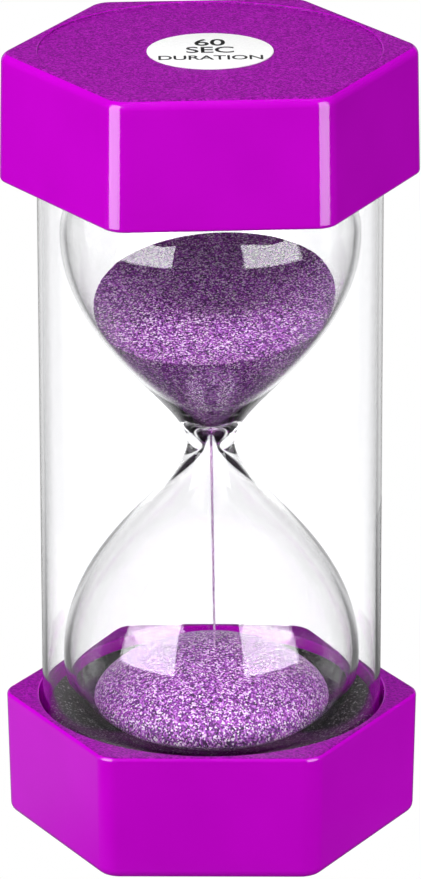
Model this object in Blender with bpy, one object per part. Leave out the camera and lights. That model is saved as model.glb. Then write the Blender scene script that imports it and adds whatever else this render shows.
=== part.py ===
"""One-minute sand timer: a blown glass double bulb inside a clear tube, held between
two hexagonal moulded caps. Metres, +Z up, origin at the centre of the lower cap's base."""

import math

import bmesh
import bpy
from mathutils import Matrix, Vector

mm = 0.001

# Overall size
total_height = 100 * mm
gap = 0.3 * mm                   # clearance between pieces that touch
thin_gap = 0.05 * mm             # clearance under the sticker

# Caps: hexagonal cups, widest at the open end
cap_height = 16.2 * mm
cap_corner_radius = 26 * mm      # centre to a corner, at the open end
cap_draft = math.radians(1.2)    # each side leans in by this towards the outer end
cap_upright_round = 1.7 * mm     # rounding of the six upright edges
cap_rim_round = 1.2 * mm         # rounding of the edges round both end faces
cap_floor = 2.3 * mm             # thickness of the closed end
bore_mouth_radius = 21.7 * mm
bore_floor_radius = 21.55 * mm
recess_radius = 20.9 * mm        # shallow round step in the outer end face
recess_depth = 0.3 * mm
lower_cap_twist = math.radians(-2)
upper_cap_twist = math.radians(2)

# Outer tube
tube_radius = 21.2 * mm
tube_wall = 0.6 * mm

# Glass double bulb, symmetric about its waist
bulb_waist_z = 49.4 * mm         # just below the middle: the bulb sinks into the lower pad
bulb_radius = 18.5 * mm
bulb_widest_offset = 27.6 * mm   # waist to the widest ring
bulb_dome_height = 12 * mm       # widest ring to the pole
bulb_shoulder = 14.3 * mm        # how far the wall keeps its direction above the widest ring
bulb_wall = 0.8 * mm
waist_radius = 2.95 * mm
waist_run = 5.7 * mm             # how far the wall keeps its direction beside the waist
orifice_radius = 0.75 * mm
fill_hole_radius = 3.5 * mm

# Stopper in the fill hole
plug_stem_length = 3 * mm
plug_flange_radius = 4.8 * mm
plug_flange_height = 0.8 * mm

# Foam pads
pad_radius = 20.2 * mm
pad_face_height = 11.8 * mm      # pad's free face above the outer end of its cap
pad_lip_height = 15.4 * mm       # the lower pad is dished: its face climbs to this at the tube

# Sand
upper_sand_level = 67.7 * mm     # height of the upper surface on the axis
upper_sand_tilt = math.radians(13)
upper_sand_tip = 51.8 * mm
lower_sand_edge = 16.4 * mm      # height where the pile meets the glass
lower_sand_crown = 5.5 * mm      # rise of the pile's top above that
stream_radius = 0.17 * mm

# Sticker
label_radius = 7.7 * mm
label_thickness = 0.15 * mm
label_offset = Vector((0, -0.8 * mm))

# Mesh fineness
turned_steps = 36
tube_steps = 64
dome_steps = 7
shoulder_steps = 10
round_steps = 3
stream_steps = 8


def remove_everything():
    for thing in list(bpy.data.objects):
        bpy.data.objects.remove(thing, do_unlink=True)


def material(name, color, roughness, metallic=0.0, transmission=0.0, ior=1.45):
    made = bpy.data.materials.new(name)
    made.use_nodes = True
    shader = made.node_tree.nodes["Principled BSDF"]
    shader.inputs["Base Color"].default_value = (*color, 1.0)
    shader.inputs["Roughness"].default_value = roughness
    shader.inputs["Metallic"].default_value = metallic
    shader.inputs["Transmission Weight"].default_value = transmission
    shader.inputs["IOR"].default_value = ior
    made.diffuse_color = (*color, 0.4 if transmission else 1.0)
    return made


def new_object(name, mesh_maker, surface, parent=None):
    mesh = bpy.data.meshes.new(name)
    mesh_maker.to_mesh(mesh)
    mesh_maker.free()
    thing = bpy.data.objects.new(name, mesh)
    bpy.context.scene.collection.objects.link(thing)
    if surface:
        mesh.materials.append(surface)
    if parent:
        thing.parent = parent
    mesh.shade_smooth()
    mesh.set_sharp_from_angle(angle=math.radians(30))
    return thing


def turned(outline, steps, closed=False):
    """A solid of revolution about Z. An open outline starts and ends on the axis."""
    shape = bmesh.new()
    points = [shape.verts.new((radius, 0, height)) for radius, height in outline]
    edges = [shape.edges.new(pair) for pair in zip(points, points[1:])]
    if closed:
        edges.append(shape.edges.new((points[-1], points[0])))
    bmesh.ops.spin(shape, geom=points + edges, cent=(0, 0, 0), axis=(0, 0, 1),
                   angle=math.tau, steps=steps, use_merge=True)
    bmesh.ops.remove_doubles(shape, verts=shape.verts, dist=1e-6)
    bmesh.ops.recalc_face_normals(shape, faces=shape.faces)
    return shape


def bezier(start, handle_a, handle_b, end, steps):
    """Points along a cubic from start to end, both included."""
    points = []
    for i in range(steps + 1):
        t = i / steps
        s = 1 - t
        weights = (s ** 3, 3 * s * s * t, 3 * s * t * t, t ** 3)
        places = (start, handle_a, handle_b, end)
        points.append(tuple(sum(w * p[k] for w, p in zip(weights, places)) for k in (0, 1)))
    return points


def ellipse_arc(radius, height, centre_z, from_angle, to_angle, steps):
    """Points on an upright ellipse, with angles measured up from its widest ring."""
    points = []
    for i in range(steps + 1):
        angle = from_angle + (to_angle - from_angle) * i / steps
        points.append((radius * math.cos(angle), centre_z + height * math.sin(angle)))
    return points


def bulb_curve(inset, waist):
    """The bulb's wall from the lower pole to the upper one, set in from the outside."""
    radius = bulb_radius - inset
    dome = bulb_dome_height - inset
    low_z = bulb_waist_z - bulb_widest_offset
    high_z = bulb_waist_z + bulb_widest_offset
    low_dome = ellipse_arc(radius, dome, low_z, -math.pi / 2, 0, dome_steps)
    funnel = bezier((radius, low_z), (radius, low_z + bulb_shoulder),
                    (waist, bulb_waist_z - waist_run), (waist, bulb_waist_z), shoulder_steps)
    mirrored = [(r, 2 * bulb_waist_z - z) for r, z in reversed(funnel)]
    high_dome = ellipse_arc(radius, dome, high_z, 0, math.pi / 2, dome_steps)
    low_dome[0] = (0, low_dome[0][1])
    high_dome[-1] = (0, high_dome[-1][1])
    return low_dome + funnel[1:] + mirrored[1:] + high_dome[1:]


def cut_at(curve, height, keep_below):
    """The part of a rising curve on one side of a height, with a point exactly at it."""
    kept = []
    for (r0, z0), (r1, z1) in zip(curve, curve[1:]):
        if z0 <= height < z1:
            share = (height - z0) / (z1 - z0)
            crossing = (r0 + share * (r1 - r0), height)
            if keep_below:
                return kept + [(r0, z0), crossing]
            kept = [crossing]
        elif keep_below or kept:
            kept.append((r0, z0))
    kept.append(curve[-1])
    return kept


def cut_at_hole(curve, hole_radius):
    """A rising curve stopped where its top dome narrows to the fill hole."""
    half = len(curve) // 2
    for i in range(half, len(curve) - 1):
        (r0, z0), (r1, z1) = curve[i], curve[i + 1]
        if r0 >= hole_radius > r1:
            share = (r0 - hole_radius) / (r0 - r1)
            return curve[:i + 1] + [(hole_radius, z0 + share * (z1 - z0))]
    return curve


def cutter(name, outline, steps):
    """A turned solid that only serves to cut another."""
    tool = new_object(name, turned(outline, steps), None)
    tool.hide_render = True
    tool.display_type = "WIRE"
    return tool


def build_cap(name, surface, tools, frame):
    """A hexagonal cup standing on its closed end, with its mouth up."""
    lean = cap_height * math.tan(cap_draft)
    shape = bmesh.new()
    bmesh.ops.create_circle(shape, cap_ends=True, segments=6,
                            radius=cap_corner_radius - lean)
    bmesh.ops.rotate(shape, verts=shape.verts, matrix=Matrix.Rotation(math.radians(30), 3, "Z"))
    pulled = bmesh.ops.extrude_face_region(shape, geom=shape.faces[:])
    top = [item for item in pulled["geom"] if isinstance(item, bmesh.types.BMVert)]
    bmesh.ops.translate(shape, verts=top, vec=(0, 0, cap_height))
    widen = cap_corner_radius / (cap_corner_radius - lean)
    bmesh.ops.scale(shape, verts=top, vec=(widen, widen, 1))
    bmesh.ops.recalc_face_normals(shape, faces=shape.faces)

    upright = [e for e in shape.edges if abs(e.verts[0].co.z - e.verts[1].co.z) > cap_height / 2]
    bmesh.ops.bevel(shape, geom=upright, offset=cap_upright_round, offset_type="OFFSET",
                    segments=round_steps, profile=0.5, affect="EDGES", material=-1)
    round_the_ends = [e for e in shape.edges if abs(e.verts[0].co.z - e.verts[1].co.z) < 1e-7]
    bmesh.ops.bevel(shape, geom=round_the_ends, offset=cap_rim_round, offset_type="OFFSET",
                    segments=round_steps, profile=0.5, affect="EDGES", material=-1)
    bmesh.ops.remove_doubles(shape, verts=shape.verts, dist=1e-6)

    cap = new_object(name, shape, surface, frame)
    for tool in tools:
        cut = cap.modifiers.new(tool.name, "BOOLEAN")
        cut.operation = "DIFFERENCE"
        cut.solver = "EXACT"
        cut.object = tool
        tool.parent = frame
    return cap


def cap_frame(name, height, flipped, twist):
    """The empty that a cap and its cutters hang from: base at height, mouth inwards."""
    frame = bpy.data.objects.new(name, None)
    bpy.context.scene.collection.objects.link(frame)
    frame.location = (0, 0, height)
    frame.rotation_euler = (math.pi if flipped else 0, 0, twist)
    return frame


def cap_with_cutters(side, surface, frame):
    slope = (bore_mouth_radius - bore_floor_radius) / (cap_height - cap_floor)
    above = 1 * mm
    bore = [(0, cap_floor), (bore_floor_radius, cap_floor),
            (bore_mouth_radius + slope * above, cap_height + above), (0, cap_height + above)]
    recess = [(0, -above), (recess_radius, -above), (recess_radius, recess_depth),
              (0, recess_depth)]
    tools = [cutter(side + "_bore_cutter", bore, tube_steps),
             cutter(side + "_recess_cutter", recess, tube_steps)]
    return build_cap(side + "_cap", surface, tools, frame)


def build_tube(surface):
    inside = tube_radius - tube_wall
    low = cap_floor + gap
    high = total_height - low
    outline = [(inside, low), (tube_radius, low), (tube_radius, high), (inside, high)]
    return new_object("outer_tube", turned(outline, tube_steps, closed=True), surface)


def build_bulb(surface):
    outside = cut_at_hole(bulb_curve(0, waist_radius), fill_hole_radius)
    inside = cut_at_hole(bulb_curve(bulb_wall, orifice_radius), fill_hole_radius)
    outline = outside + inside[::-1]
    return new_object("glass_bulb", turned(outline, turned_steps), surface)


def flange_seat():
    """Height of the glass at the rim of the fill hole."""
    return cut_at_hole(bulb_curve(0, waist_radius), fill_hole_radius)[-1][1]


def build_plug(surface):
    stem = fill_hole_radius - gap
    seat = flange_seat() + gap
    outline = [(0, seat - plug_stem_length), (stem, seat - plug_stem_length), (stem, seat),
               (plug_flange_radius, seat), (plug_flange_radius, seat + plug_flange_height),
               (0, seat + plug_flange_height)]
    return new_object("fill_plug", turned(outline, turned_steps), surface)


def build_lower_pad(surface):
    dent = cut_at(bulb_curve(-gap, waist_radius), pad_face_height, keep_below=True)
    floor = cap_floor + gap
    outline = dent + [(pad_radius, pad_lip_height), (pad_radius, floor), (0, floor)]
    return new_object("lower_foam_pad", turned(outline, turned_steps), surface)


def build_upper_pad(surface):
    face = total_height - pad_face_height
    back = total_height - cap_floor - gap
    pocket_top = flange_seat() + plug_flange_height + 2 * gap
    pocket = plug_flange_radius + gap
    dent = cut_at(cut_at_hole(bulb_curve(-gap, waist_radius), pocket), face, keep_below=False)
    outline = [(0, back), (pad_radius, back), (pad_radius, face)] + dent
    outline += [(pocket, pocket_top), (0, pocket_top)]
    return new_object("upper_foam_pad", turned(outline, turned_steps), surface)


def sand_curve():
    """Where the sand lies against the glass, from the lower pole to the upper one."""
    return bulb_curve(bulb_wall + gap, orifice_radius)


def build_upper_sand(surface):
    """A funnel of sand under a flat surface that tips down towards -Y."""
    slope = math.tan(upper_sand_tilt)
    highest = upper_sand_level + bulb_radius * slope
    wall = cut_at(sand_curve(), upper_sand_tip, keep_below=False)
    wall = cut_at(wall, highest, keep_below=True)
    outline = [(0, wall[0][1])] + wall + [(0, highest)]
    shape = turned(outline, turned_steps)
    cut = bmesh.ops.bisect_plane(shape, geom=shape.verts[:] + shape.edges[:] + shape.faces[:],
                                 dist=1e-7, plane_co=(0, 0, upper_sand_level),
                                 plane_no=(0, -slope, 1), clear_outer=True)
    rim = [item for item in cut["geom_cut"] if isinstance(item, bmesh.types.BMEdge)]
    bmesh.ops.triangle_fill(shape, edges=rim, use_beauty=True, use_dissolve=False)
    bmesh.ops.recalc_face_normals(shape, faces=shape.faces)
    return new_object("upper_sand", shape, surface)


def build_lower_sand(surface):
    """A low crowned pile in the bottom of the lower bulb."""
    wall = cut_at(sand_curve(), lower_sand_edge, keep_below=True)
    edge_radius = wall[-1][0]
    crown = ellipse_arc(edge_radius, lower_sand_crown, lower_sand_edge, 0, math.pi / 2, dome_steps)
    crown[-1] = (0, crown[-1][1])
    return new_object("lower_sand", turned(wall + crown[1:], turned_steps), surface)


def build_stream(surface):
    low = lower_sand_edge + lower_sand_crown + gap
    high = upper_sand_tip - gap
    outline = [(0, low), (stream_radius, low), (stream_radius, high), (0, high)]
    return new_object("sand_stream", turned(outline, stream_steps), surface)


def build_label(surface):
    low = total_height - recess_depth + thin_gap
    high = low + label_thickness
    outline = [(0, low), (label_radius, low), (label_radius, high), (0, high)]
    label = new_object("duration_label", turned(outline, turned_steps), surface)
    label.location = (*label_offset, 0)
    return label


def main():
    remove_everything()
    magenta = material("moulded_magenta_plastic", (0.52, 0.0, 0.58), 0.35)
    clear = material("clear_tube_plastic", (0.97, 0.97, 0.98), 0.03, transmission=1.0, ior=1.49)
    glass = material("blown_glass", (0.98, 0.98, 0.98), 0.01, transmission=1.0, ior=1.5)
    foam = material("black_foam", (0.02, 0.02, 0.02), 0.95)
    rubber = material("white_rubber", (0.7, 0.7, 0.68), 0.7)
    sand = material("purple_sand", (0.3, 0.09, 0.36), 0.6)
    paper = material("white_sticker", (0.9, 0.9, 0.9), 0.4)

    cap_with_cutters("lower", magenta, cap_frame("lower_cap_frame", 0, False, lower_cap_twist))
    cap_with_cutters("upper", magenta,
                     cap_frame("upper_cap_frame", total_height, True, upper_cap_twist))
    build_tube(clear)
    build_bulb(glass)
    build_plug(rubber)
    build_lower_pad(foam)
    build_upper_pad(foam)
    build_upper_sand(sand)
    build_lower_sand(sand)
    build_stream(sand)
    build_label(paper)


main()
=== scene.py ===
import math
import bmesh
import bpy
from mathutils import Matrix, Quaternion, Vector, noise


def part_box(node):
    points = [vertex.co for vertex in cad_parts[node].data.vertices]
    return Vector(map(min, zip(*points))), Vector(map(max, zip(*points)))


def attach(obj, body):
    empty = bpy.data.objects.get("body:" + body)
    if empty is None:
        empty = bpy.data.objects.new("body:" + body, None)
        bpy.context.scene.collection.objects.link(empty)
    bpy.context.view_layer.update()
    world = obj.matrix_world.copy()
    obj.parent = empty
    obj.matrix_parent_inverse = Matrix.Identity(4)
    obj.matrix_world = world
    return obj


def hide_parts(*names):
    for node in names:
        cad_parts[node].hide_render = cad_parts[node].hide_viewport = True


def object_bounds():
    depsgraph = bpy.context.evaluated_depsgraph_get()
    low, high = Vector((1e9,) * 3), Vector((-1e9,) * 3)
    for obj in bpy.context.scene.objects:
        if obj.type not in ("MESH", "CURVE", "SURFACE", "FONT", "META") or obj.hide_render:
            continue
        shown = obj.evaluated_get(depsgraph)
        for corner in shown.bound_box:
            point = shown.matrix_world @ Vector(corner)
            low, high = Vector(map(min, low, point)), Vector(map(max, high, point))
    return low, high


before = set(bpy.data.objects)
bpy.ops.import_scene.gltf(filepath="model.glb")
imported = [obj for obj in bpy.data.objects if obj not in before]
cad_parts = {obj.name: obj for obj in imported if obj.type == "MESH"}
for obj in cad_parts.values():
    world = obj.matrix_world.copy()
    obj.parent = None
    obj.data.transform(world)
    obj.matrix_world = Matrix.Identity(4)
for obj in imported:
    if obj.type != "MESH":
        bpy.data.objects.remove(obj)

cadLow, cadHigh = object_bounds()
mm = 0.001
body = "root"
print("frame loaded:", len(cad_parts), "nodes")


def linear(hexColour):
    # sRGB hex to the linear colour that shaders work in
    parts = [int(hexColour[i:i + 2], 16) / 255 for i in (1, 3, 5)]
    return (*[p / 12.92 if p <= 0.04045 else ((p + 0.055) / 1.055) ** 2.4 for p in parts], 1.0)


def addNode(tree, kind, settings=None, **values):
    # one node: settings are its properties, values go to inputs as a socket's link or a constant
    node = tree.nodes.new(kind)
    for name, value in (settings or {}).items():
        setattr(node, name, value)
    for name, value in values.items():
        socket = node.inputs[name.replace("_", " ")]
        if isinstance(value, bpy.types.NodeSocket):
            tree.links.new(value, socket)
        else:
            socket.default_value = value
    return node


def newMaterial(name, **constants):
    # a Principled material with its constants set, and the tree to add a pattern to
    made = bpy.data.materials.new(name)
    made.use_nodes = True
    shader = made.node_tree.nodes["Principled BSDF"]
    for key, value in constants.items():
        shader.inputs[key.replace("_", " ")].default_value = value
    return made, made.node_tree, shader


def rampOf(tree, factor, stops):
    node = addNode(tree, "ShaderNodeValToRGB", Fac=factor)
    elements = node.color_ramp.elements
    while len(elements) < len(stops):
        elements.new(0.5)
    for element, (place, colour) in zip(elements, stops):
        element.position = place
        element.color = colour
    return node.outputs["Color"]


def bumpOf(tree, height, distance, strength, shader):
    bump = addNode(tree, "ShaderNodeBump", Height=height, Distance=distance, Strength=strength)
    tree.links.new(bump.outputs["Normal"], shader.inputs["Normal"])


def objectPlace(tree):
    return addNode(tree, "ShaderNodeTexCoord").outputs["Object"]


# main and dark are the plastic's own tones; the last three are painted shade and highlight for the
# spark-eroded faces, darker overall than the plastic
absTonesAndPaintedShade = {"main": "#CA00D3", "dark": "#C200CB", "paintedShadeTone": "#6E0078", "grain": "#91009A", "paintedHighlightTone": "#AE1AB5"}


# Magenta ABS, injection moulded in a polished mould: deep even colour under a clear gloss
def polishedAbs():
    made, tree, shader = newMaterial("polishedMagentaAbs", Roughness=0.1, IOR=1.53,
                                     Specular_IOR_Level=0.45)
    place = objectPlace(tree)
    flow = addNode(tree, "ShaderNodeTexNoise", Vector=place, Scale=60, Detail=2)   # 16 mm drifts
    shade = rampOf(tree, flow.outputs["Fac"], [(0.3, linear(absTonesAndPaintedShade["dark"])),
                                               (0.7, linear(absTonesAndPaintedShade["main"]))])
    tree.links.new(shade, shader.inputs["Base Color"])
    ripple = addNode(tree, "ShaderNodeTexNoise", Vector=place, Scale=700, Detail=2)  # 1.4 mm
    bumpOf(tree, ripple.outputs["Fac"], 0.004 * mm, 0.5, shader)
    return made


# The same ABS off a spark-eroded mould face: a fine grain that scatters the gloss, with painted shade and
# highlights: each grain is painted at random from a dark shaded tone to a pale highlighted one, and all
# are darker than the polished faces, shade painted onto the level faces
def sparkedAbsWithPaintedShade():
    made, tree, shader = newMaterial("sparkErodedAbsWithPaintedShade", Roughness=0.5, IOR=1.53,
                                     Specular_IOR_Level=0.1)
    place = objectPlace(tree)
    grain = addNode(tree, "ShaderNodeTexVoronoi", Vector=place, Scale=1 / (0.22 * mm))
    cell = addNode(tree, "ShaderNodeSeparateColor", Color=grain.outputs["Color"])
    # painted shade and highlight: each grain takes a tone at random from the dark shaded one to the pale
    # highlighted one
    shade = rampOf(tree, cell.outputs["Red"], [(0.0, linear(absTonesAndPaintedShade["paintedShadeTone"])),
                                               (0.55, linear(absTonesAndPaintedShade["grain"])),
                                               (1.0, linear(absTonesAndPaintedShade["paintedHighlightTone"]))])
    tree.links.new(shade, shader.inputs["Base Color"])
    bumpOf(tree, grain.outputs["Distance"], 0.05 * mm, 0.6, shader)
    return made


# Soda-lime glass, blown and fire-polished: clear, with only the reflections to show it
def blownGlass():
    made, tree, shader = newMaterial("blownSodaLimeGlass", Base_Color=linear("#FDFDFD"),
                                     Roughness=0.0, IOR=1.51, Transmission_Weight=1.0)
    drift = addNode(tree, "ShaderNodeTexNoise", Vector=objectPlace(tree), Scale=90, Detail=1)
    bumpOf(tree, drift.outputs["Fac"], 0.15 * mm, 0.06, shader)   # hand-blown waviness, 11 mm
    return made


# Acrylic, extruded as a tube: water-clear and smooth
def clearAcrylic():
    return newMaterial("extrudedClearAcrylic", Base_Color=linear("#FDFDFE"), Roughness=0.0, IOR=1.49,
                       Transmission_Weight=1.0)[0]


# Quartz sand dyed purple: every grain its own shade, a few facets flash white
def dyedSand(name, tones, grainSize):
    made, tree, shader = newMaterial(name, Roughness=0.45, IOR=1.54)
    grains = addNode(tree, "ShaderNodeTexVoronoi", Vector=objectPlace(tree), Scale=1 / grainSize)
    cell = addNode(tree, "ShaderNodeSeparateColor", Color=grains.outputs["Color"])
    colour = rampOf(tree, cell.outputs["Red"], [(place, linear(tone)) for place, tone in tones])
    tree.links.new(colour, shader.inputs["Base Color"])
    bumpOf(tree, grains.outputs["Distance"], 0.08 * mm, 0.5, shader)
    return made


sandTones = [(0.0, "#12001A"), (0.3, "#661280"), (0.6, "#B042C8"), (0.8, "#E094F0"), (0.9, "#FFF6FF")]
# the falling thread is the same sand painted paler than the bed: light on the thin stream painted into its
# colour
paintedLitStreamTones = [(0.0, "#A070AC"), (0.5, "#C49CCA"), (1.0, "#ECDCEE")]


# EVA foam, skived from a block: matt black, cut cells catch the light as specks
def blackFoam():
    made, tree, shader = newMaterial("skivedBlackEva", Roughness=0.85, IOR=1.45,
                                     Specular_IOR_Level=0.3)
    cells = addNode(tree, "ShaderNodeTexVoronoi", Vector=objectPlace(tree), Scale=1 / (0.2 * mm))
    cell = addNode(tree, "ShaderNodeSeparateColor", Color=cells.outputs["Color"])
    colour = rampOf(tree, cell.outputs["Green"], [(0.0, linear("#141213")), (0.7, linear("#2E2A2C")),
                                                  (0.9, linear("#5A5558")), (1.0, linear("#A8A2A6"))])
    tree.links.new(colour, shader.inputs["Base Color"])
    bumpOf(tree, cells.outputs["Distance"], 0.12 * mm, 0.8, shader)
    return made


# Moulded rubber, plain off-white
def paleRubber():
    made, tree, shader = newMaterial("mouldedPaleRubber", Roughness=0.6, IOR=1.52)
    dust = addNode(tree, "ShaderNodeTexNoise", Vector=objectPlace(tree), Scale=1500, Detail=3)
    shade = rampOf(tree, dust.outputs["Fac"], [(0.3, linear("#CFCBC0")), (0.7, linear("#E0DDD4"))])
    tree.links.new(shade, shader.inputs["Base Color"])
    return made


# Coated label paper: bright white with a low sheen and a trace of fibre
def coatedPaper():
    made, tree, shader = newMaterial("coatedWhitePaper", Roughness=0.4, IOR=1.5)
    fibre = addNode(tree, "ShaderNodeTexNoise", Vector=objectPlace(tree), Scale=4000, Detail=3)
    shade = rampOf(tree, fibre.outputs["Fac"], [(0.3, linear("#F6F6F6")), (0.7, linear("#FFFFFF"))])
    tree.links.new(shade, shader.inputs["Base Color"])
    bumpOf(tree, fibre.outputs["Fac"], 0.005 * mm, 0.4, shader)
    return made


# Black label ink, a thin matt film
def labelInk():
    made, tree, shader = newMaterial("screenedBlackInk", Roughness=0.5, IOR=1.5)
    film = addNode(tree, "ShaderNodeTexNoise", Vector=objectPlace(tree), Scale=3000, Detail=2)
    shade = rampOf(tree, film.outputs["Fac"], [(0.3, linear("#101010")), (0.7, linear("#1C1C1C"))])
    tree.links.new(shade, shader.inputs["Base Color"])
    return made


finishes = {
    "polished": polishedAbs(),
    "sparked": sparkedAbsWithPaintedShade(),
    "glass": blownGlass(),
    "acrylic": clearAcrylic(),
    "sand": dyedSand("dyedPurpleSand", sandTones, 0.17 * mm),
    # painted paler than the bed, painted light on the falling thread
    "falling": dyedSand("fallingSandPaintedPaler", paintedLitStreamTones, 0.17 * mm),
    "foam": blackFoam(),
    "rubber": paleRubber(),
    "paper": coatedPaper(),
    "ink": labelInk(),
}
print("materials made:", len(finishes))


def makePiece(name, shape, surfaces, node=None, sharpAngle=35, longFaces=False):
    # a finished bmesh becomes a piece that rides with the timer and stands for its CAD node
    mesh = bpy.data.meshes.new(name)
    shape.to_mesh(mesh)
    shape.free()
    for surface in surfaces:
        mesh.materials.append(finishes[surface])
    mesh.shade_smooth()
    mesh.set_sharp_from_angle(angle=math.radians(sharpAngle))
    piece = bpy.data.objects.new(name, mesh)
    bpy.context.scene.collection.objects.link(piece)
    if longFaces:
        even = piece.modifiers.new("longFacesStayFlat", "WEIGHTED_NORMAL")
        even.keep_sharp = True
    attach(piece, body)
    if node:
        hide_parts(node)


def turn(outline, steps, closed=False):
    # an outline of (radius, height) points turned about the timer's axis
    shape = bmesh.new()
    points = [shape.verts.new((radius, 0, height)) for radius, height in outline]
    edges = [shape.edges.new(pair) for pair in zip(points, points[1:])]
    if closed:
        edges.append(shape.edges.new((points[-1], points[0])))
    bmesh.ops.spin(shape, geom=points + edges, cent=(0, 0, 0), axis=(0, 0, 1),
                   angle=math.tau, steps=steps, use_merge=True)
    bmesh.ops.remove_doubles(shape, verts=shape.verts, dist=1e-6)
    bmesh.ops.recalc_face_normals(shape, faces=shape.faces)
    return shape


def arcPoints(centre, radii, fromAngle, toAngle, steps, fullness=2):
    # points on an upright ellipse; angles in degrees, 0 points outwards and 90 up
    angles = [math.radians(fromAngle + (toAngle - fromAngle) * i / steps) for i in range(steps + 1)]

    def along(part):
        return math.copysign(abs(part) ** (2 / fullness), part) if abs(part) > 1e-9 else 0.0
    return [(centre[0] + radii[0] * along(math.cos(a)), centre[1] + radii[1] * along(math.sin(a)))
            for a in angles]


def curvePoints(start, handleA, handleB, end, steps):
    # points along a cubic curve
    points = []
    for i in range(steps + 1):
        t = i / steps
        weights = ((1 - t) ** 3, 3 * (1 - t) ** 2 * t, 3 * (1 - t) * t * t, t ** 3)
        corners = (start, handleA, handleB, end)
        points.append(tuple(sum(w * c[k] for w, c in zip(weights, corners)) for k in (0, 1)))
    return points


# Caps: hexagonal cups with rounded edges, a round bore and a shallow round recess
capLow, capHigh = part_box("lower_cap")
tubeLow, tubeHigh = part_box("outer_tube")
cap = {
    "height": capHigh.z - capLow.z,
    "cornerRadius": 26.2 * mm,     # at the open end, before rounding
    "draft": 1.2,                  # degrees
    "uprightRound": 1.7 * mm,
    "rimRound": 1.2 * mm,          # at the closed end
    "mouthRound": 0.5 * mm,
    "roundSteps": 6,
    "floor": 2.3 * mm,
    "boreMouth": 21.7 * mm,
    "boreFloor": 21.55 * mm,
    "mouthEdge": 0.22 * mm,        # small radius round the bore's mouth, a bright line
    "recess": 20.9 * mm,
    "recessDepth": 0.3 * mm,
    "recessEdge": 0.28 * mm,
    "flatCosine": 0.9,             # faces nearer to level than this come off a sparked mould face
    "sparkMargin": 0.1 * mm,       # so do those this far round the recess
    "circleSteps": 192,
    "cornerTurn": 30,              # degrees: flats to the front and back, before the twist
    "lowerTwist": -2,
    "upperTwist": 2,
}


def loopAt(shape, height):
    return [e for e in shape.edges if e.is_boundary and all(abs(v.co.z - height) < 1e-6 for v in e.verts)]


def sinkCircle(shape, height, stations):
    # joins the open edge at a height to a circle, then carries the circle through the stations
    rim = loopAt(shape, height)
    made = bmesh.ops.create_circle(shape, segments=cap["circleSteps"], radius=stations[0][0],
                                   matrix=Matrix.Translation((0, 0, height)))
    ring = list({e for v in made["verts"] for e in v.link_edges})
    bmesh.ops.bridge_loops(shape, edges=rim + ring)
    for radius, level in stations[1:]:
        pulled = bmesh.ops.extrude_edge_only(shape, edges=ring)["geom"]
        verts = [g for g in pulled if isinstance(g, bmesh.types.BMVert)]
        ring = [g for g in pulled if isinstance(g, bmesh.types.BMEdge)
                and g.verts[0] in verts and g.verts[1] in verts]
        now = verts[0].co.xy.length
        bmesh.ops.scale(shape, verts=verts, vec=(radius / now, radius / now, 1))
        bmesh.ops.translate(shape, verts=verts, vec=(0, 0, level - verts[0].co.z))
    bmesh.ops.holes_fill(shape, edges=ring)


def capShape():
    shape = bmesh.new()
    endRadius = cap["cornerRadius"] - cap["height"] * math.tan(math.radians(cap["draft"]))
    bmesh.ops.create_circle(shape, cap_ends=True, segments=6, radius=endRadius)
    turned = Matrix.Rotation(math.radians(cap["cornerTurn"]), 3, "Z")
    bmesh.ops.rotate(shape, verts=shape.verts, matrix=turned)
    pulled = bmesh.ops.extrude_face_region(shape, geom=shape.faces[:])["geom"]
    top = [g for g in pulled if isinstance(g, bmesh.types.BMVert)]
    widen = cap["cornerRadius"] / endRadius
    bmesh.ops.scale(shape, verts=top, vec=(widen, widen, 1))
    bmesh.ops.translate(shape, verts=top, vec=(0, 0, cap["height"]))
    bmesh.ops.recalc_face_normals(shape, faces=shape.faces)
    # first the six uprights, then the rim at the closed end, then the rim at the mouth
    for middle, width in ((cap["height"] / 2, cap["uprightRound"]), (0, cap["rimRound"]),
                          (cap["height"], cap["mouthRound"])):
        edges = [e for e in shape.edges
                 if abs(sum(v.co.z for v in e.verts) / 2 - middle) < 1e-6]
        bmesh.ops.bevel(shape, geom=edges, offset=width, offset_type="OFFSET",
                        segments=cap["roundSteps"], profile=0.5, affect="EDGES", material=-1)
    ends = [f for f in shape.faces if len(f.verts) > 8]
    bmesh.ops.delete(shape, geom=ends, context="FACES_ONLY")

    edge = cap["mouthEdge"]
    mouth = arcPoints((cap["boreMouth"] + edge, cap["height"] - edge), (-edge, edge), 90, 0, 4)
    sinkCircle(shape, cap["height"], mouth + [(cap["boreFloor"], cap["floor"])])
    edge = cap["recessEdge"]
    step = arcPoints((cap["recess"] + edge, edge), (-edge, -edge), 90, 0, 6)
    sinkCircle(shape, 0, step + [(cap["recess"], cap["recessDepth"])])
    bmesh.ops.recalc_face_normals(shape, faces=shape.faces)
    for face in shape.faces:
        middle = face.calc_center_median()
        inside = middle.xy.length < cap["recess"] + cap["sparkMargin"]
        inRecess = middle.z < cap["recessDepth"] and inside
        face.material_index = 1 if abs(face.normal.z) > cap["flatCosine"] or inRecess else 0
    return shape


def makeCap(name, node, flip, twist):
    shape = capShape()
    place = Matrix.Rotation(math.radians(twist), 4, "Z")
    if flip:
        place = Matrix.Translation((0, 0, cadHigh.z)) @ place @ Matrix.Rotation(math.pi, 4, "X")
    bmesh.ops.transform(shape, verts=shape.verts, matrix=place)
    makePiece(name, shape, ("polished", "sparked"), node, longFaces=True)


makeCap("lowerCapShell", "lower_cap", False, cap["lowerTwist"])
makeCap("upperCapShell", "upper_cap", True, cap["upperTwist"])
print("caps made")


# Clear tube, its two cut ends slightly broken
tube = {"radius": tubeHigh.x, "wall": 0.6 * mm, "endEdge": 0.15 * mm, "steps": 192}


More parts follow.
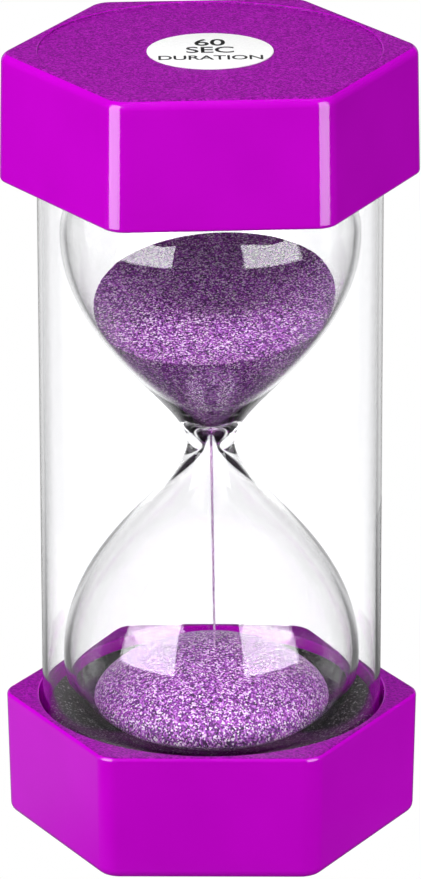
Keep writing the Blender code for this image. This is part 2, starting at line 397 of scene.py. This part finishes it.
def makeTube():
    edge = tube["endEdge"]
    low, high = tubeLow.z, tubeHigh.z
    inner, outer = tube["radius"] - tube["wall"] + edge, tube["radius"] - edge
    corners = ((inner, high - edge, 180), (outer, high - edge, 90),
               (outer, low + edge, 0), (inner, low + edge, -90))
    outline = []
    for radius, height, start in corners:
        outline += arcPoints((radius, height), (edge, edge), start, start - 90, 3)
    makePiece("clearTube", turn(outline, tube["steps"], closed=True), ("acrylic",),
              "outer_tube", sharpAngle=60, longFaces=True)


makeTube()
print("tube made")


# Glass double bulb: two domes and a thick pinched waist, open at the fill hole
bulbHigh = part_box("glass_bulb")[1]
bulb = {
    "radius": bulbHigh.x,
    "waistZ": 49.4 * mm,
    "widestOffset": 27.6 * mm,     # waist to the widest ring
    "dome": 12 * mm,
    "fullness": 2.3,               # of the lower dome: 2 is an ellipse, more is squarer
    "shoulder": 14.3 * mm,
    "waistRun": 5.7 * mm,
    "boreRun": 3.4 * mm,           # the inside narrows later, so the waist is thick glass
    "wall": 0.8 * mm,
    "waistRadius": 2.95 * mm,
    "orifice": 0.75 * mm,
    "fillHole": 3.5 * mm,
    "steps": 176,
    "curveSteps": 44,
}


def bulbCurve(inset, waist):
    # the wall from the lower pole to the upper one, set in from the outside
    run = bulb["waistRun"] if inset < bulb["wall"] else bulb["boreRun"]
    radius, dome = bulb["radius"] - inset, bulb["dome"] - inset
    lowZ, highZ = (bulb["waistZ"] + s * bulb["widestOffset"] for s in (-1, 1))
    half = bulb["curveSteps"]
    lowDome = arcPoints((0, lowZ), (radius, dome), -90, 0, half // 2, bulb["fullness"])
    funnel = curvePoints((radius, lowZ), (radius, lowZ + bulb["shoulder"]),
                         (waist, bulb["waistZ"] - run), (waist, bulb["waistZ"]), half)
    mirrored = [(r, 2 * bulb["waistZ"] - z) for r, z in reversed(funnel)]
    highDome = arcPoints((0, highZ), (radius, dome), 0, 90, half // 2)
    return lowDome + funnel[1:] + mirrored[1:] + highDome[1:]


def stopAtHole(curve):
    # the curve up to where its top dome narrows to the fill hole
    top = max(i for i, (r, z) in enumerate(curve) if r >= bulb["fillHole"])
    (r0, z0), (r1, z1) = curve[top], curve[top + 1]
    share = (r0 - bulb["fillHole"]) / (r0 - r1)
    return curve[:top + 1] + [(bulb["fillHole"], z0 + share * (z1 - z0))]


def between(curve, low, high):
    # the part of a rising curve between two heights, with a point exactly at each
    def at(height):
        for (r0, z0), (r1, z1) in zip(curve, curve[1:]):
            if z0 <= height <= z1:
                return (r0 + (height - z0) / (z1 - z0) * (r1 - r0), height)
    kept = [(r, z) for r, z in curve if low < z < high]
    return ([at(low)] if low > curve[0][1] else [curve[0]]) + kept + [at(high)]


def makeBulb():
    outside = stopAtHole(bulbCurve(0, bulb["waistRadius"]))
    inside = stopAtHole(bulbCurve(bulb["wall"], bulb["orifice"]))
    for wall in (outside, inside):
        wall[0] = (0, wall[0][1])
    makePiece("blownBulb", turn(outside + inside[::-1], bulb["steps"]), ("glass",),
              "glass_bulb", sharpAngle=60)


makeBulb()
print("bulb made")


# Sand: grains lie against the glass with a hair of air between
sand = {
    "air": 0.05 * mm,
    "topLevel": 67.4 * mm,         # upper surface on the axis
    "topTilt": 13.6,               # degrees
    "uphill": 17,                  # the tilt rises towards the back, this many degrees to the right
    "tip": 51.8 * mm,
    "pileEdge": 15.1 * mm,
    "pileCrown": 6.8 * mm,
    "unevenness": 0.25 * mm,
    "unevenSpan": 6 * mm,
    "topSeed": 3,
    "pileSeed": 0,
    "settling": 6,                 # rounds to find where the tilted top meets the glass
    "rings": 18,
    "steps": 144,
}


def sandWall():
    return bulbCurve(bulb["wall"] + sand["air"], bulb["orifice"])


def uneven(verts, seed):
    # gentle dunes, fading out towards the edge where the sand meets the glass
    reach = max(v.co.xy.length for v in verts)
    for v in verts:
        fade = 1 - (v.co.xy.length / reach) ** 4
        v.co.z += sand["unevenness"] * fade * noise.noise(v.co / sand["unevenSpan"] + Vector((0, 0, seed)))


def makeUpperSand():
    # turned with a level top, then each column is leaned so the top slopes and the wall follows the glass
    slope, level, tip = math.tan(math.radians(sand["topTilt"])), sand["topLevel"], sand["tip"]
    wall = between(sandWall(), tip, level + bulb["radius"])
    rim = between(wall, tip, level)
    rings = sand["rings"]
    rise = Vector((math.sin(math.radians(sand["uphill"])), math.cos(math.radians(sand["uphill"]))))
    top = [(rim[-1][0] * (1 - i / rings), level) for i in range(1, rings + 1)]
    shape = turn([(0, tip)] + rim + top, sand["steps"])

    def wallRadius(height):
        return between(wall, tip, min(height, wall[-1][1]))[-1][0]

    for v in shape.verts:
        out = v.co.xy.length
        if out < 1e-7:
            continue
        side = v.co.xy.dot(rise) / out
        edge = level
        for _ in range(sand["settling"]):
            edge = level + slope * wallRadius(edge) * side
        if v.co.z > level - 1e-7:
            new = out / rim[-1][0] * wallRadius(edge)
            height = level + slope * new * side
        else:
            height = tip + (v.co.z - tip) / (level - tip) * (edge - tip)
            new = out if height <= tip + 1e-7 else wallRadius(height)
        v.co = Vector((v.co.x / out * new, v.co.y / out * new, height))
    surface = [v for v in shape.verts if abs(v.co.z - level - v.co.xy.dot(rise) * slope) < 1e-6]
    uneven(surface, sand["topSeed"])
    makePiece("upperSandBed", shape, ("sand",), "upper_sand", sharpAngle=40)


def makeLowerSand():
    wall = between(sandWall(), 0, sand["pileEdge"])
    wall[0] = (0, wall[0][1])
    crown = arcPoints((0, sand["pileEdge"]), (wall[-1][0], sand["pileCrown"]), 0, 90, sand["rings"])
    crown[-1] = (0, crown[-1][1])
    shape = turn(wall + crown[1:], sand["steps"])
    uneven([v for v in shape.verts if v.co.z > sand["pileEdge"] - 1e-6], sand["pileSeed"])
    makePiece("lowerSandPile", shape, ("sand",), "lower_sand", sharpAngle=40)


# The falling thread, a little ragged
stream = {
    "radius": 0.17 * mm,
    "taper": 0.75,                 # of the radius, where it lands
    "steps": 16,
    "rings": 60,
    "wobble": 0.03 * mm,
    "ragged": 1.5 * mm,            # length of one change in width
    "sway": 2 * mm,                # length of one sway to the side
    "drift": 0.4 * mm,
    "sunk": 0.1 * mm,              # into the top of the pile
    "clear": 0.05 * mm,            # of the sand above
}


def makeStream():
    low = sand["pileEdge"] + sand["pileCrown"] - stream["sunk"]
    high = sand["tip"] - stream["clear"]
    outline = [(0, low)]
    for i in range(stream["rings"] + 1):
        share = i / stream["rings"]
        height = low + share * (high - low)
        ragged = stream["wobble"] * noise.noise(Vector((0, 0, height / stream["ragged"])))
        width = stream["radius"] * (stream["taper"] + (1 - stream["taper"]) * share) + ragged
        outline.append((width, height))
    shape = turn(outline + [(0, high)], stream["steps"])
    for v in shape.verts:   # it lands a little to the right, swaying as it falls
        fallen = (high - v.co.z) / (high - low)
        sway = stream["wobble"] * noise.noise(v.co / stream["sway"])
        v.co.x += fallen * (stream["drift"] + sway)
    makePiece("sandThread", shape, ("falling",), "sand_stream")


makeUpperSand()
makeLowerSand()
makeStream()
print("sand made")


# Foam pads, dented by the bulb
pad = {
    "radius": 20.4 * mm,
    "face": 11.8 * mm,
    "lip": 15.4 * mm,              # the lower pad's face climbs to this at the tube
    "give": 0.06 * mm,
    "edge": 0.5 * mm,
    "steps": 144,
    "rings": 24,
}
plug = {
    "flange": 4.8 * mm,
    "flangeHeight": 0.8 * mm,
    "stem": 3.3 * mm,
    "edge": 0.2 * mm,
    "pocketGap": 0.2 * mm,         # round the stopper, in the upper pad
}
plugLow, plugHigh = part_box("fill_plug")


def makePads():
    dent = between(bulbCurve(-pad["give"], bulb["waistRadius"]), 0, pad["face"])
    dent[0] = (0, dent[0][1])
    corner = (pad["radius"] - pad["edge"], pad["lip"] - pad["edge"])
    start, end = dent[-1], (corner[0], pad["lip"])
    face = [tuple(a + (b - a) * i / pad["rings"] for a, b in zip(start, end))
            for i in range(1, pad["rings"])]
    rounded = arcPoints(corner, (pad["edge"], pad["edge"]), 90, 0, 4)
    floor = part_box("lower_foam_pad")[0].z
    shape = turn(dent + face + rounded + [(pad["radius"], floor), (0, floor)], pad["steps"])
    makePiece("lowerFoamDisc", shape, ("foam",), "lower_foam_pad")

    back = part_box("upper_foam_pad")[1].z
    face = cadHigh.z - pad["face"]
    pocket, pocketTop = plug["flange"] + plug["pocketGap"], plugHigh.z + plug["pocketGap"]
    over = [(r, z) for r, z in bulbCurve(-pad["give"], bulb["waistRadius"]) if z > face and r > pocket]
    corner = (pad["radius"] - pad["edge"], face + pad["edge"])
    rounded = arcPoints(corner, (pad["edge"], pad["edge"]), 0, -90, 4)
    shape = turn([(0, back), (pad["radius"], back)] + rounded + over
                 + [(pocket, over[-1][1]), (pocket, pocketTop), (0, pocketTop)], pad["steps"])
    makePiece("upperFoamDisc", shape, ("foam",), "upper_foam_pad")


def makePlug():
    seat = plugHigh.z - plug["flangeHeight"]
    edge = plug["edge"]
    foot = arcPoints((plug["stem"] - edge, plugLow.z + edge), (edge, edge), -90, 0, 3)
    brim = arcPoints((plug["flange"] - edge, plugHigh.z - edge), (edge, edge), 0, 90, 3)
    outline = [(0, plugLow.z)] + foot + [(plug["stem"], seat), (plug["flange"], seat)] + brim
    makePiece("rubberStopper", turn(outline + [(0, plugHigh.z)], 64), ("rubber",),
              "fill_plug")


makePads()
makePlug()
print("pads and stopper made")


# Round sticker with a plain duration on it
label = {
    "edge": 0.04 * mm,
    "steps": 128,
    "ink": 0.02 * mm,
    "bolder": 0.012,               # of the letter size
    "lines": (("60", 3.9 * mm, 2.2 * mm), ("SEC", 3.6 * mm, -0.9 * mm), ("DURATION", 2.5 * mm, -3.9 * mm)),
}


def makeLabel():
    low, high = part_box("duration_label")
    radius, edge = (high.x - low.x) / 2, label["edge"]
    centre = Vector(((low.x + high.x) / 2, (low.y + high.y) / 2, 0))
    outline = [(0, low.z), (radius, low.z)]
    outline += arcPoints((radius - edge, high.z - edge), (edge, edge), 0, 90, 3) + [(0, high.z)]
    shape = turn(outline, label["steps"])
    bmesh.ops.translate(shape, verts=shape.verts, vec=centre)
    makePiece("paperSticker", shape, ("paper",), "duration_label")
    shape = bmesh.new()
    for words, size, baseline in label["lines"]:
        curve = bpy.data.curves.new("duration", "FONT")
        curve.body, curve.align_x = words, "CENTER"
        curve.extrude = label["ink"] / size / 2
        curve.offset = label["bolder"]
        writing = bpy.data.objects.new("duration", curve)
        bpy.context.scene.collection.objects.link(writing)
        written = bpy.data.meshes.new_from_object(
            writing.evaluated_get(bpy.context.evaluated_depsgraph_get()))
        place = centre + Vector((0, baseline, high.z + label["ink"] / 2))
        written.transform(Matrix.Translation(place) @ Matrix.Scale(size, 4))
        shape.from_mesh(written)
        bpy.data.objects.remove(writing)
    makePiece("durationLettering", shape, ("ink",))


makeLabel()
print("label made")


# Floor, world and lights
studio = {
    "floorSize": 8.0,
    "floorDrop": 0.2 * mm,
    "background": 1.0,             # what the camera sees straight
    "straightThrough": 1.5,        # what clear walls show of it, from any side
    "throughGlass": (0.02, 0.2, 1.2),    # in front, at the sides and behind, by way of a reflection
    "inGloss": (0.008, 0.008, 0.3),      # the same three as glossy faces reflect them
    "sideFade": (-0.1, 0.3),       # cosines off straight behind over which one fades to the next
    "behindFade": (0.74, 0.93),
    "onMatt": 0.45,
    "horizon": (0.15, 0.35),       # heights of a direction over which the room fades to dark above
    "cardRadius": 0.12,
    "cardDrop": 0.1 * mm,
    "cardFade": 0.03,              # half the width over which the card changes
    "cardLeft": 0.22,
    "cardRight": 0.02,
}


def byRay(tree, seen, through, gloss, matt):
    # one brightness for each kind of ray
    path = addNode(tree, "ShaderNodeLightPath").outputs
    value = addNode(tree, "ShaderNodeMix", Factor=path["Is Glossy Ray"], A=matt, B=gloss)
    value = addNode(tree, "ShaderNodeMix", Factor=path["Is Transmission Ray"],
                    A=value.outputs["Result"], B=through)
    return addNode(tree, "ShaderNodeMix", Factor=path["Is Camera Ray"],
                   A=value.outputs["Result"], B=seen).outputs["Result"]


def backdrop(tree, place, front, sides, behind):
    # one brightness straight behind the timer, one to its sides and one in front
    flat = addNode(tree, "ShaderNodeVectorMath", {"operation": "MULTIPLY"})
    tree.links.new(place, flat.inputs[0])
    flat.inputs[1].default_value = (1, 1, 0)
    unit = addNode(tree, "ShaderNodeVectorMath", {"operation": "NORMALIZE"})
    tree.links.new(flat.outputs["Vector"], unit.inputs[0])
    cosine = addNode(tree, "ShaderNodeSeparateXYZ", Vector=unit.outputs["Vector"]).outputs["Y"]
    glow = front
    for ends, further in ((studio["sideFade"], sides), (studio["behindFade"], behind)):
        fade = addNode(tree, "ShaderNodeMapRange", {"interpolation_type": "SMOOTHSTEP"}, Value=cosine,
                       From_Min=ends[0], From_Max=ends[1], To_Min=0, To_Max=1)
        glow = addNode(tree, "ShaderNodeMix", Factor=fade.outputs["Result"], A=glow,
                       B=further).outputs["Result"]
    return glow


def straightThrough(tree, otherwise):
    # clear walls show the bright room from every side, unless the ray was reflected or scattered
    path = addNode(tree, "ShaderNodeLightPath").outputs
    value = addNode(tree, "ShaderNodeMix", Factor=path["Glossy Depth"],
                    A=studio["straightThrough"], B=otherwise)
    return addNode(tree, "ShaderNodeMix", Factor=path["Diffuse Depth"],
                   A=value.outputs["Result"], B=otherwise).outputs["Result"]


def makeFloor():
    shape = bmesh.new()
    bmesh.ops.create_grid(shape, x_segments=1, y_segments=1, size=studio["floorSize"] / 2)
    mesh = bpy.data.meshes.new("floor")
    shape.to_mesh(mesh)
    shape.free()
    floor = bpy.data.objects.new("floor", mesh)
    bpy.context.scene.collection.objects.link(floor)
    floor.location.z = -studio["floorDrop"]
    floor.visible_glossy = False   # reflections look past it to the lower part of the soft boxes
    made, tree, shader = newMaterial("paleFloor", Roughness=1.0, Base_Color=(0, 0, 0, 1),
                                     Specular_IOR_Level=0.0, Emission_Color=(1, 1, 1, 1))
    through = straightThrough(tree, backdrop(tree, objectPlace(tree), *studio["throughGlass"]))
    glow = byRay(tree, studio["background"], through, studio["inGloss"][0], studio["onMatt"])
    tree.links.new(glow, shader.inputs["Emission Strength"])
    mesh.materials.append(made)


def makeWorld():
    world = bpy.data.worlds.new("paleStudio")
    bpy.context.scene.world = world
    world.use_nodes = True
    tree = world.node_tree
    direction = addNode(tree, "ShaderNodeTexCoord").outputs["Generated"]
    height = addNode(tree, "ShaderNodeSeparateXYZ", Vector=direction).outputs["Z"]
    fade = addNode(tree, "ShaderNodeMapRange", {"interpolation_type": "SMOOTHSTEP"}, Value=height,
                   From_Min=studio["horizon"][0], From_Max=studio["horizon"][1], To_Min=1, To_Max=0)
    lowBand = [addNode(tree, "ShaderNodeMix", Factor=fade.outputs["Result"], A=levels[0],
                       B=backdrop(tree, direction, *levels)).outputs["Result"]
               for levels in (studio["throughGlass"], studio["inGloss"])]
    glow = byRay(tree, studio["background"], straightThrough(tree, lowBand[0]), lowBand[1],
                 studio["onMatt"])
    tree.links.new(glow, tree.nodes["Background"].inputs["Strength"])
    tree.nodes["Background"].inputs["Color"].default_value = (1, 1, 1, 1)


def makeCard():
    # pale card under the timer that only glossy faces see, paler at the left
    shape = bmesh.new()
    bmesh.ops.create_circle(shape, cap_ends=True, segments=64, radius=studio["cardRadius"])
    mesh = bpy.data.meshes.new("baseCard")
    shape.to_mesh(mesh)
    shape.free()
    card = bpy.data.objects.new("baseCard", mesh)
    bpy.context.scene.collection.objects.link(card)
    card.location.z = -studio["cardDrop"]
    card.visible_camera = card.visible_diffuse = card.visible_transmission = card.visible_shadow = False
    made, tree, shader = newMaterial("baseCard", Roughness=1.0, Base_Color=(0, 0, 0, 1),
                                     Specular_IOR_Level=0.0, Emission_Color=(1, 1, 1, 1))
    place = addNode(tree, "ShaderNodeSeparateXYZ", Vector=objectPlace(tree))
    reach = studio["cardFade"]
    side = addNode(tree, "ShaderNodeMapRange", Value=place.outputs["X"], From_Min=-reach, From_Max=reach,
                   To_Min=studio["cardLeft"], To_Max=studio["cardRight"])
    behind = addNode(tree, "ShaderNodeMapRange", Value=place.outputs["Y"], From_Min=-reach,
                     From_Max=0.0, To_Min=0, To_Max=1)
    glow = addNode(tree, "ShaderNodeMath", {"operation": "MULTIPLY"})
    tree.links.new(side.outputs["Result"], glow.inputs[0])
    tree.links.new(behind.outputs["Result"], glow.inputs[1])
    tree.links.new(glow.outputs["Value"], shader.inputs["Emission Strength"])
    mesh.materials.append(made)


def panel(name, azimuth, distance, reach, width, seen, lit, aimZ, shows):
    # a soft box facing the timer; azimuth 0 is the front, positive to the right; seen is its radiance
    # in reflections, lit its radiance on what it lights
    lowZ, highZ = reach
    lamp = bpy.data.lights.new(name, "AREA")
    lamp.shape = "RECTANGLE"
    lamp.size, lamp.size_y = width, highZ - lowZ
    lamp.energy = math.pi * lamp.size * lamp.size_y
    lamp.use_nodes = True
    tree = lamp.node_tree
    scattered = addNode(tree, "ShaderNodeLightPath").outputs["Diffuse Depth"]
    level = addNode(tree, "ShaderNodeMapRange", Value=scattered, From_Min=0, From_Max=1,
                    To_Min=seen, To_Max=lit)
    tree.links.new(level.outputs["Result"], tree.nodes["Emission"].inputs["Strength"])
    box = bpy.data.objects.new(name, lamp)
    bpy.context.scene.collection.objects.link(box)
    angle, middle = math.radians(azimuth), (lowZ + highZ) / 2
    box.location = (distance * math.sin(angle), -distance * math.cos(angle), middle)
    aim = Vector((0, 0, middle if aimZ is None else aimZ)) - box.location
    box.rotation_euler = aim.to_track_quat("-Z", "Y").to_euler()
    box.visible_camera = False
    box.visible_diffuse = "matt" in shows
    box.visible_glossy = "gloss" in shows
    box.visible_transmission = "through" in shows


makeFloor()
makeWorld()
makeCard()
# two tall panes to be mirrored, two small keys high up for the sand, four soft boxes for matt faces
panel("leftPane", -52, 0.55, (-0.08, 0.7), 0.46, 7.3, 3.3, None, ("gloss", "through"))
panel("rightPane", 46, 0.55, (-0.08, 0.7), 0.46, 6.5, 3.1, None, ("gloss", "through"))
panel("leftSandKey", -25, 0.30, (0.292, 0.322), 0.15, 0, 66, 0.07, ("through",))
panel("rightSandKey", 25, 0.30, (0.292, 0.322), 0.15, 0, 66, 0.07, ("through",))
panel("highKey", -28, 0.36, (0.24, 0.54), 0.35, 4.6, 4.6, 0.05, ("matt",))
panel("overhead", 0, 0.1, (0.70, 1.10), 0.50, 4.2, 4.2, 0.05, ("matt",))
panel("lowLeft", -80, 0.16, (0.0, 0.05), 0.1, 5, 5, 0.0, ("matt",))
panel("lowRight", 75, 0.16, (0.0, 0.05), 0.1, 4, 4, 0.0, ("matt",))
print("studio made")


# Camera: a long lens a little above the timer
view = {"azimuth": -1.4, "elevation": 19.6, "distance": 0.792, "lens": 261.8, "roll": -0.14,
        "aim": (-0.05 * mm, 0, 49.6 * mm)}


def makeCamera():
    lens = bpy.data.cameras.new("camera")
    lens.lens = view["lens"]
    lens.sensor_width = 36
    camera = bpy.data.objects.new("camera", lens)
    bpy.context.scene.collection.objects.link(camera)
    angle = math.radians(view["elevation"])
    turned = math.radians(view["azimuth"])
    back = Vector((math.cos(angle) * math.sin(turned), -math.cos(angle) * math.cos(turned),
                   math.sin(angle)))
    camera.location = Vector(view["aim"]) + back * view["distance"]
    roll = Quaternion((0, 0, 1), math.radians(view["roll"]))
    camera.rotation_euler = ((-back).to_track_quat("-Z", "Y") @ roll).to_euler()
    lens.clip_start, lens.clip_end = 0.01, 50
    bpy.context.scene.camera = camera


makeCamera()
bpy.context.scene.view_settings.view_transform = "Standard"
print("camera made")

# Light paths
paths = bpy.context.scene.cycles
paths.max_bounces = 20             # enough to cross the four clear walls and come back
paths.transmission_bounces = 18
paths.sample_clamp_indirect = 0    # no clamp on indirect light
paths.blur_glossy = 0              # light reaches the sand through clear, not frosted, walls
print("light paths set")
